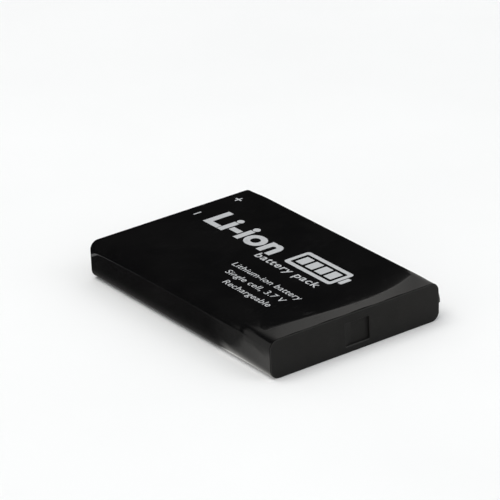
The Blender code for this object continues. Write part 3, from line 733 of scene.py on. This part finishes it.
def build_film():
    section = film_section()
    stations = film_stations()
    cut_ends = {0: 1, len(stations) - 1: -1}    # station, direction into the film
    mesh = bmesh.new()
    outer, inner = [], []
    for j, y in enumerate(stations):
        outer.append([])
        inner.append([])
        for k, (x, z, nx, nz, lap) in enumerate(section):
            out = film_relief(x - X_MID, y - Y_BASE, z - Z_BOTTOM, nx, nz)
            if nx > 0.99:
                out *= 0.4
                # the loose end of the lap lifts where the film is cut
                out += lap * exp(-(y - film_lo[1]) / 1.6)
            out += side_fullness(nx, nz, y - Y_BASE, z - Z_BOTTOM)
            # the film's cut edge wanders slightly
            wander = 0.012 * (1 + sin(k * 0.23) * 0.6 + sin(k * 0.071 + 1.0) * 0.4)
            edge_y = y + cut_ends.get(j, 0) * wander
            up = out + lap
            down = max(-0.015, min(out, 0.02)) - FILM_T
            outer[-1].append(mesh.verts.new((x + nx * up, edge_y, z + nz * up)))
            inner[-1].append(mesh.verts.new((x + nx * down, edge_y, z + nz * down)))
    skin(mesh, *outer)
    skin(mesh, *inner)
    skin(mesh, outer[0], inner[0])
    skin(mesh, outer[-1], inner[-1])
    piece("label_film", mesh, FILM, "label_wrap", sharp=38.0)


build_film()

# ------------------------------------------------------------------ printing
# Generic marks in silver-white ink. Lines read along -Y with their tops towards +X.
INK_T = 0.010
INK_UP = 0.004
INK_SUNK = 0.012    # how far the underside sits below INK_UP
CAP_SHARE = 0.682    # height of a capital as a share of the font size
ICON_X0, ICON_X1 = X_LEFT + 20.6, X_LEFT + 26.2
ICON_Y0, ICON_Y1 = Y_BASE + 11.3, Y_BASE + 24.2
ICON_WALL = 0.85
BAR_MARGIN, BAR_PITCH, BAR_WIDE = 1.45, 2.62, 2.0
SIGN_Y = Y_CONTACT - 2.6
SIGN_ARM, SIGN_HALF = 0.8, 0.16    # half length and half width of a stroke


def turn_outward(mesh):
    """Turn every separate body's faces out, judged by its signed volume."""
    bmesh.ops.recalc_face_normals(mesh, faces=mesh.faces)
    seen = set()
    for first in mesh.faces:
        if first in seen:
            continue
        seen.add(first)
        body, todo = [], [first]
        while todo:
            face = todo.pop()
            body.append(face)
            for edge in face.edges:
                for other in edge.link_faces:
                    if other not in seen:
                        seen.add(other)
                        todo.append(other)
        origin = body[0].verts[0].co.copy()
        volume = 0.0
        for face in body:
            p = [v.co - origin for v in face.verts]
            volume += sum(p[0].dot(b.cross(c)) for b, c in zip(p[1:], p[2:]))
        if volume < 0:
            bmesh.ops.reverse_faces(mesh, faces=body)


def lay_on_film(mesh, name):
    """Flat outlines at z 0..1 become ink that follows the film's top face."""
    turn_outward(mesh)    # while they are still thick
    for v in mesh.verts:
        top = Z_TOP + film_relief(v.co.x - X_MID, v.co.y - Y_BASE, PACK_H, 0.0, 1.0)
        v.co.z = top + INK_UP + (INK_T if v.co.z > 0.5 else -INK_SUNK)
    piece(name, mesh, PRINT, sharp=40.0, turned=True)


def from_outline(loops, mesh=None):
    """Solid between z 0 and 1 over an (x, y) outline with holes."""
    mesh = mesh or bmesh.new()
    loops = [[Vector((x, y, 0)) for x, y in loop] for loop in loops]
    flat = [p for loop in loops for p in loop]
    low = [mesh.verts.new((p.x, p.y, 0.0)) for p in flat]
    high = [mesh.verts.new((p.x, p.y, 1.0)) for p in flat]
    for triangle in tessellate_polygon(loops):
        mesh.faces.new([high[i] for i in triangle])
        mesh.faces.new([low[i] for i in reversed(triangle)])
    start = 0
    for loop in loops:
        end = start + len(loop)
        skin(mesh, *[[v for v in side[start:end]] for side in (low, high)])
        start = end
    return mesh


def flat_rect(x0, y0, x1, y1, r, seg=6):
    """Rounded rectangle of (x, y) points, with extra points so that long runs follow the film."""
    points = [((x1 - r if sx > 0 else x0 + r) + r * nx, (y1 - r if sy > 0 else y0 + r) + r * ny)
              for sx, sy, nx, ny in corner_points(seg)]
    out = []
    for p, q in zip(points, points[1:] + points[:1]):
        count = max(1, int(math.hypot(q[0] - p[0], q[1] - p[1]) / 0.8))
        out += [(p[0] + (q[0] - p[0]) * i / count, p[1] + (q[1] - p[1]) * i / count)
                for i in range(count)]
    return out


def lettering(name, text, x_base, y_end, cap, bold, spacing, wide, last=None):
    """One line of lettering: baseline x_base from the left side, end y_end from the base face.
    cap is the height of a capital, wide a stretch along the line, last a drawn letter."""
    curve = bpy.data.curves.new(name, "FONT")
    curve.body = text
    curve.size = cap / CAP_SHARE
    curve.space_character = spacing
    curve.offset = bold
    curve.fill_mode = "BOTH"
    curve.extrude = 0.5
    curve.resolution_u = 5
    text_object = add_object(name + "_tmp", curve)
    depsgraph = bpy.context.evaluated_depsgraph_get()
    data = bpy.data.meshes.new_from_object(text_object.evaluated_get(depsgraph))
    bpy.data.objects.remove(text_object)
    mesh = bmesh.new()
    mesh.from_mesh(data)
    bpy.data.meshes.remove(data)
    bmesh.ops.remove_doubles(mesh, verts=mesh.verts, dist=0.0005)
    if last:
        from_outline([last], mesh)
    line_end = max(v.co.x for v in mesh.verts)
    for v in mesh.verts:
        back = (v.co.x - line_end) * wide
        v.co = Vector((X_LEFT + x_base + v.co.y, Y_BASE + y_end - back,
                       1.0 if v.co.z > 0 else 0.0))
    lay_on_film(mesh, name)


def bold_n(x0, x1, y0, y1, stem):
    """Heavy letter n in a box: two stems, a round counter and a round right shoulder."""
    counter_x, counter_rx = (x0 + x1) / 2, (x1 - x0) / 2 - stem
    counter_y, counter_ry = y0 + 0.60 * (y1 - y0), 0.54
    shoulder_x, shoulder_ry = x1 - 1.186 * stem, 1.624
    shoulder_rx = x1 - shoulder_x
    points = [(x0, y0), (x0 + stem, y0)]
    for i in range(13):
        a = radians(15 * i)
        points.append((counter_x - counter_rx * cos(a), counter_y + counter_ry * sin(a)))
    points += [(x1 - stem, y0), (x1, y0)]
    # the shoulder ends where it meets the left stem
    meet = math.degrees(math.acos((x0 + stem - shoulder_x) / shoulder_rx))
    for i in range(13):
        a = radians(meet * i / 12)
        points.append((shoulder_x + shoulder_rx * cos(a),
                       y1 - shoulder_ry + shoulder_ry * sin(a)))
    return points + [(x0 + stem, y1 - 0.07), (x0, y1 - 0.07)]


def build_battery_icon():
    """Battery outline with a terminal nub towards -Y and four charge bars."""
    x0, x1, y0, y1, wall = ICON_X0, ICON_X1, ICON_Y0, ICON_Y1, ICON_WALL
    outline = [flat_rect(x0, y0, x1, y1, 0.7),
               flat_rect(x0 + wall, y0 + wall, x1 - wall, y1 - wall, 0.25)]
    lay_on_film(from_outline(outline), "print_battery_outline")
    nub = flat_rect(x0 + 1.6, y0 - 1.25, x1 - 1.6, y0 - 0.25, 0.25)
    lay_on_film(from_outline([nub]), "print_battery_nub")
    for i in range(4):
        y = y0 + BAR_MARGIN + i * BAR_PITCH
        bar = flat_rect(x0 + BAR_MARGIN, y, x1 - BAR_MARGIN, y + BAR_WIDE, 0.15)
        lay_on_film(from_outline([bar]), "print_charge_bar_%d" % (i + 1))


def build_polarity_signs(minus_x, plus_x):
    """Minus and plus signs on the top face beside the outer contact windows."""
    a, b = SIGN_ARM, SIGN_HALF
    bar = flat_rect(minus_x - a, SIGN_Y - b, minus_x + a, SIGN_Y + b, 0.05, seg=3)
    lay_on_film(from_outline([bar]), "print_polarity_minus")
    cross = ((-a, -b), (-b, -b), (-b, -a), (b, -a), (b, -b), (a, -b),
             (a, b), (b, b), (b, a), (-b, a), (-b, b), (-a, b))
    lay_on_film(from_outline([[(plus_x + x, SIGN_Y + y) for x, y in cross]]),
                "print_polarity_plus")


SMALL_LINES = (    # text, baseline x, end y
    ("Lithium-ion battery", 13.05, 9.8),
    ("Single cell, 3.7 V", 10.4, 11.1),
    ("Rechargeable", 7.65, 11.2),
)
for i, (text, x_base, y_end) in enumerate(SMALL_LINES):
    lettering("print_line_%d" % (i + 1), text, x_base, y_end,
              cap=1.36, bold=0.006, spacing=1.04, wide=1.18)
lettering("print_tagline", "battery pack", x_base=18.1, y_end=11.9,
          cap=1.70, bold=0.030, spacing=1.10, wide=1.25)
lettering("print_big_word", "Li-io", x_base=20.3, y_end=27.6,
          cap=5.2, bold=0.26, spacing=1.02, wide=1.12,
          last=bold_n(x0=14.334, x1=17.736, y0=-0.26, y1=3.754, stem=1.198))
build_battery_icon()
build_polarity_signs(windows[0][1], windows[2][1])

# ------------------------------------------------------------------ camera
AZIMUTH, ELEVATION, ROLL = radians(34.94), radians(24.468), radians(-2.717)
CAMERA_PLACE = Vector((-0.308079, -0.437879, 0.252859))    # metres
view = Vector((sin(AZIMUTH) * cos(ELEVATION), cos(AZIMUTH) * cos(ELEVATION), -sin(ELEVATION)))


def build_camera():
    level_right = Vector((cos(AZIMUTH), -sin(AZIMUTH), 0.0))
    level_up = level_right.cross(view)
    right = cos(ROLL) * level_right + sin(ROLL) * level_up
    up = -sin(ROLL) * level_right + cos(ROLL) * level_up
    data = bpy.data.cameras.new("camera")
    camera = add_object("camera", data)
    data.sensor_width = 36.0
    data.lens = 248.19408
    data.clip_start = 0.01
    data.clip_end = 20.0
    rows = [(right[i], up[i], -view[i], CAMERA_PLACE[i]) for i in range(3)]
    camera.matrix_world = Matrix((*rows, (0, 0, 0, 1)))
    bpy.context.scene.camera = camera


build_camera()

# ------------------------------------------------------------------ stage


def stage_mesh(name, verts, faces, mat):
    data = bpy.data.meshes.new(name)
    data.from_pydata(verts, [], faces)
    data.materials.append(mat)
    ob = add_object(name, data)
    ob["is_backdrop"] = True
    return ob


def build_floor():
    s = Surface("floor_pale")
    tone = s.noise(size=60.0)
    s.bump(s.noise(size=1.2), depth=0.01)
    x, y, _ = s.add("SeparateXYZ", {0: s.mm}).outputs
    # painted light: the floor glows a little under the rounded edge on the -X side, so that the
    # shade there stays soft
    soft = {"interpolation_type": "SMOOTHSTEP"}
    painted_glow = s.calc("MULTIPLY", s.remap(x, start=-18.8, end=-17.3, **soft),
                  s.remap(y, start=-26.9, end=-26.2, **soft))
    painted_glow = s.calc("MULTIPLY", painted_glow,
                  s.remap(y, start=-13.0, end=-9.5, low=1.0, high=0.0, **soft))
    painted_glow = s.calc("MULTIPLY", painted_glow, s.remap(x, start=-16.0, end=-15.5, low=0.12, high=0.0))
    color = s.tones(tone, dark=(0.905, 0.905, 0.90), light=(0.93, 0.93, 0.925))
    mat = s.done(color, 0.85, Specular_IOR_Level=0.1,
                 Emission_Color=(1.0, 0.98, 0.95, 1.0), Emission_Strength=painted_glow)
    half = 6    # metres
    corners = [(-half, -half, 0), (half, -half, 0), (half, half, 0), (-half, half, 0)]
    stage_mesh("floor", corners, [(0, 1, 2, 3)], mat)


def glow(name, gated):
    """Emission that reads a card's own point colours: a painted reflection, seen in the gloss.
    A gated card shows only to rays that set out along the main view, so other views keep the plain
    studio."""
    mat = bpy.data.materials.new(name)
    mat.use_nodes = True
    tree = mat.node_tree
    tree.nodes.clear()
    level = add_node(tree, "Attribute", attribute_name="level").outputs["Color"]
    shader = add_node(tree, "Emission", {"Color": level}).outputs[0]
    if gated:
        # the pack's section is the same along Y, so a mirrored ray keeps its Y part
        incoming = add_node(tree, "NewGeometry").outputs["Incoming"]
        part = add_node(tree, "SeparateXYZ", {0: incoming}).outputs[1]
        off = add_node(tree, "Math", {0: part, 1: view.y}, operation="ADD").outputs[0]
        off = add_node(tree, "Math", {0: off}, operation="ABSOLUTE").outputs[0]
        gate = add_node(tree, "MapRange", {
            "Value": off, "From Min": 0.10, "From Max": 0.16, "To Min": 1.0, "To Max": 0.0},
            interpolation_type="SMOOTHSTEP").outputs[0]
        clear = add_node(tree, "BsdfTransparent").outputs[0]
        shader = add_node(tree, "MixShader", {0: gate, 1: clear, 2: shader}).outputs[0]
    add_node(tree, "OutputMaterial", {0: shader})
    return mat


def card(name, verts, columns, levels, gated=True):
    """Grid of glowing points in rows, seen only in reflections: a painted reflection that shapes a
    gloss as a studio flag would.
    """
    w = columns
    faces = [(j * w + i, j * w + i + 1, (j + 1) * w + i + 1, (j + 1) * w + i)
             for j in range(len(verts) // w - 1) for i in range(w - 1)]
    ob = stage_mesh(name, [tuple(c * MM for c in v) for v in verts], faces, glow(name, gated))
    colors = ob.data.color_attributes.new("level", "FLOAT_COLOR", "POINT")
    for i, level in enumerate(levels):
        colors.data[i].color = (level, level * 0.985, level * 0.95, 1.0)
    for ray in ("camera", "diffuse", "transmission", "volume_scatter", "shadow"):
        setattr(ob, "visible_" + ray, False)


def sheet(name, us, vs, place, level, gated=True):
    """Painted-reflection card on a grid: place(u, v) gives the point, level(u, v) its brightness.
    """
    verts = [place(u, v) for v in vs for u in us]
    levels = [max(0.0, level(u, v)) for v in vs for u in us]
    card(name, verts, len(us), levels, gated)


def spread(stops):
    """Coordinates through (start, step) stops up to the last start."""
    out = []
    for (a, step), (b, _) in zip(stops, stops[1:]):
        n = max(1, round((b - a) / step))
        out += [a + (b - a) * i / n for i in range(n)]
    return out + [stops[-1][0]]


def along(x, points):
    """Straight lines through (x, value) points, held level past both ends."""
    for (xa, va), (xb, vb) in zip(points, points[1:]):
        if x <= xb:
            return va + (vb - va) * max(0.0, (x - xa) / (xb - xa))
    return points[-1][1]


# The cards below are painted reflections: glowing sheets seen only in the gloss, in place of the
# surroundings' light and shade.
CARD_Y = 34.0
BLACK = 0.010    # brightness of the unlit cards
# black card: distance below its top edge (along the top face), share of EDGE_GLOW
EDGE_FADE = ((7.0, 0.0), (3.5, 0.12), (1.5, 0.35), (0.6, 0.60), (0.0, 1.0))
# glow at the black card's edge: x from the left side, brightness
EDGE_GLOW = ((14, 0.010), (20, 0.018), (24, 0.030), (27, 0.060), (30, 0.10), (33, 0.10))
# painted reflection on the wall card above the sheen line: x, brightness
PLATEAU = (
    (22, 0.215), (25.0, 0.24), (28, 0.36), (41, 0.455), (47, 0.51), (53, 0.475),
    (57, 0.40), (60, 0.34), (62, 0.38), (66, 0.44), (70, 0.42), (110, 0.25),
)
# painted pale patch of reflection at the left of the wall card
PATCH_RIGHT = (    # z, x of its right edge
    (0, -66.5), (7, -65.5), (23, -61.0), (38, -52.0), (46, -45.0), (50, -39.0), (56, -22.0))
PATCH_TOP = (    # x, z of its upper edge
    (-110, 44.0), (-60, 46.0), (-50, 49.0), (-42, 52.0), (-24, 57.5), (-15, 60.0))
PATCH_LEVEL = ((-60, 0.38), (-50, 0.33), (-40, 0.24), (-24, 0.10))    # x, brightness
RISE_LEVEL = ((-30, 0.0), (-24, 0.02), (-6, 0.09), (11, 0.175), (24, 0.21))    # x, brightness
FAR_EDGE = ((5, 69.0), (25, 66.0), (37, 60.2))    # z, x of the slanting far right edge
# painted reflection of bright ground in the -X side: height on the side, distance at which it ends
GROUND_EDGE = (
    (1.0, 14.0), (1.5, 13.6), (2.0, 12.0), (2.5, 9.4), (3.0, 8.8), (3.5, 8.6), (5.5, 7.3))


def mirrored(x, y):
    """Where the camera's view of a point on the top face, x from the left side and
    y from the base face, lands by reflection on the plane y = CARD_Y."""
    p = Vector((X_LEFT + x, Y_BASE + y, Z_TOP))
    d = (p - CAMERA_PLACE / MM).normalized()
    d.z = -d.z
    return p + d * ((CARD_Y - p.y) / d.y)


def sheen_line(x):
    """Distance from the base face at which the painted sheen in the top face's gloss gives way to
    black.
    """
    t = x - 20.0
    return 2.77 - 0.019 * t + 0.0104 * t * t + 0.00038 * t ** 3


sheen_xs = [1.2 + 0.8 * i for i in range(42)]
black_edge = [(x, sheen_line(x)) for x in sheen_xs] + [(34.6, 7.0), (35.6, 10.0)]
top_edge = [mirrored(x, y) for x, y in black_edge]
EDGE_X = top_edge[0].x
RISE_START = ((-24, 58.0), (-7, 54.0), (8, 48.3), (EDGE_X, 38.3))    # x, z where light starts
RISE_SPAN = ((8, 4.5), (EDGE_X, 2.6))    # x, height over which it grows


def build_black_card():
    """Glowing card behind the pack, seen only in the gloss: a painted dark reflection whose top
    edge draws the sheen line.
    """
    verts = [(p.x, CARD_Y, 0.4) for p in top_edge]
    levels = [BLACK] * len(top_edge)
    for down, share in EDGE_FADE:
        verts += [(p.x, CARD_Y, mirrored(x, y + down).z)
                  for p, (x, y) in zip(top_edge, black_edge)]
        levels += [BLACK + share * along(x, EDGE_GLOW) for x, _ in black_edge]
    card("painted_reflection_black", verts, len(top_edge), levels)


def wall_reflection_level(x, z):
    patch = (smooth((along(z, PATCH_RIGHT) + 1.5 - x) / 5.0)
             * smooth((along(x, PATCH_TOP) + 1.2 - z) / 2.6) * along(x, PATCH_LEVEL))
    # further right it grows from black above a slanting soft edge
    rise = smooth((z - along(x, RISE_START)) / along(x, RISE_SPAN)) * along(x, RISE_LEVEL)
    if x > EDGE_X + 0.3:
        rise = along(x, PLATEAU) * smooth((z - 30.0) / 3.0)
    if x > 57.0:    # pale again beyond a slanting edge at the far right
        beyond = along(x, PLATEAU) * smooth((x - along(z, FAR_EDGE)) / 1.3)
        rise = max(rise * smooth((z - 35.0) / 2.0), beyond)
    return BLACK + patch + rise


def build_rim_card():
    """Painted highlight: a thin brighter line in the gloss just above the black card's edge."""
    xs = sheen_xs[1:-1]
    low = [mirrored(x, sheen_line(x)) for x in xs]
    high = [mirrored(x, sheen_line(x) - 0.40) for x in xs]
    levels = [along(p.x, PLATEAU) + 0.10 + 0.10 * smooth((p.x - 30.0) / 12.0) for p in low]
    levels += [along(p.x, PLATEAU) + 0.02 for p in high]
    card("painted_reflection_rim", low + high, len(xs), levels)


def front_reflection_level(x, y):
    """Painted reflection in the base cap's face, brighter towards the right."""
    return 0.84 + 0.66 * smooth((x - 12.0) / 24.0)


def ground_reflection_level(x, y):
    """Brightness of the painted ground reflection that the -X side mirrors: u is the height on
    that side, v the distance from the base face."""
    u = (X_LEFT - x) / 1.258
    v = y - Y_BASE - 1.80 * u
    if u < 0:
        v = y - Y_BASE - 0.8
    edge = 7.3 - 0.46 * (u - 5.5) if u > 5.5 else along(u, GROUND_EDGE)
    width = 3.0 if u > 6.5 else 1.2 + 0.7 * (5.5 - min(u, 5.5))
    near = 0.34 + (0.74 - 0.034 * max(0.0, min(v, 14.0)) - 0.34) * smooth((4.75 - u) / 1.1)
    far = 0.035 + 0.11 * smooth((18.0 - v) / 8.0) + 0.02 * smooth((3.0 - u) / 1.5)
    level = far + (near - far) * smooth((edge + width * 0.6 - v) / width)
    foot = 0.14 + (0.50 + 0.066 * max(0.0, min(v, 12.0))) * smooth((15.5 - v) / 3.5)
    return level + (foot - level) * smooth((2.2 - u) / 1.15)


build_floor()
build_black_card()
# painted reflection: glowing wall behind the pack, seen only in the gloss
sheet("painted_reflection_wall",
      spread([(-96, 1.5), (EDGE_X - 0.5, 0.1), (EDGE_X + 0.8, 1.5), (56, 0.6), (76, 4), (100, 4)]),
      spread([(0.3, 2.0), (20, 1.5), (72, 6)]), lambda x, z: (x, CARD_Y + 0.4, z), wall_reflection_level)
build_rim_card()
# painted reflection: glowing ground before the base cap, seen only in reflections
sheet("painted_reflection_front", spread([(-10, 5), (60, 5)]), spread([(-90, 6), (-28.5, 6)]),
      lambda x, y: (x, y, 0.02), front_reflection_level, gated=False)
# painted reflection: glowing ground left of the pack as its gloss sees it, reaching in under the
# rounded edge
sheet("painted_reflection_ground", spread([(-110, 4), (-40, 1.0), (-26, 0.35), (-16.2, 0.35)]),
      spread([(Y_BASE - 4, 0.6), (12, 2.0), (CARD_Y, 2.0)]),
      lambda x, y: (x, y, 0.012), ground_reflection_level)

# ------------------------------------------------------------------ light
DIFFUSE_SKY = 0.62
# the sky in a gloss, dim at the horizon and brighter overhead, keeps black film black
GLOSS_HORIZON, GLOSS_MIDDLE, GLOSS_ZENITH = 0.08, 0.15, 0.50


def build_world():
    world = bpy.data.worlds.new("studio")
    bpy.context.scene.world = world
    world.use_nodes = True
    tree = world.node_tree
    where = add_node(tree, "TexCoord").outputs["Generated"]
    height = add_node(tree, "SeparateXYZ", {0: where}).outputs[2]
    ramp = add_node(tree, "ValToRGB", {0: height})
    ramp.color_ramp.interpolation = "EASE"
    stops = ramp.color_ramp.elements
    stops[0].position = 0.0
    stops[0].color = (*(GLOSS_HORIZON,) * 3, 1)
    stops[1].position = 1.0
    stops[1].color = (*(GLOSS_ZENITH,) * 3, 1)
    stops.new(0.50).color = (*(GLOSS_MIDDLE,) * 3, 1)
    is_gloss = add_node(tree, "LightPath").outputs["Is Glossy Ray"]
    strength = add_node(tree, "Mix", {0: is_gloss, 2: DIFFUSE_SKY, 3: ramp.outputs[0]},
                        data_type="FLOAT").outputs[0]
    background = tree.nodes["Background"]
    background.inputs["Color"].default_value = (0.96, 0.98, 1.0, 1)
    feed(tree, background.inputs["Strength"], strength)


def softbox(name, place, side, watts, tint):
    """Square area light aimed at the origin; place and side in metres."""
    light = bpy.data.lights.new(name, "AREA")
    light.shape = "RECTANGLE"
    light.size = side
    light.size_y = side
    light.energy = watts
    light.color = tint
    ob = add_object(name, light)
    ob.location = place
    ob.rotation_euler = (-Vector(place)).to_track_quat("-Z", "Y").to_euler()
    return ob


build_world()
key = softbox("key_overhead", place=(-0.25, 0.10, 0.95), side=0.8, watts=5.0,
              tint=(1.0, 0.99, 0.97))
key.visible_glossy = False
softbox("fill_front", place=(0.55, -0.75, 0.60), side=0.6, watts=1.6, tint=(0.97, 0.98, 1.0))

view_settings = bpy.context.scene.view_settings
view_settings.view_transform = "Standard"
view_settings.look = "None"
view_settings.exposure = 0.0

lo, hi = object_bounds()
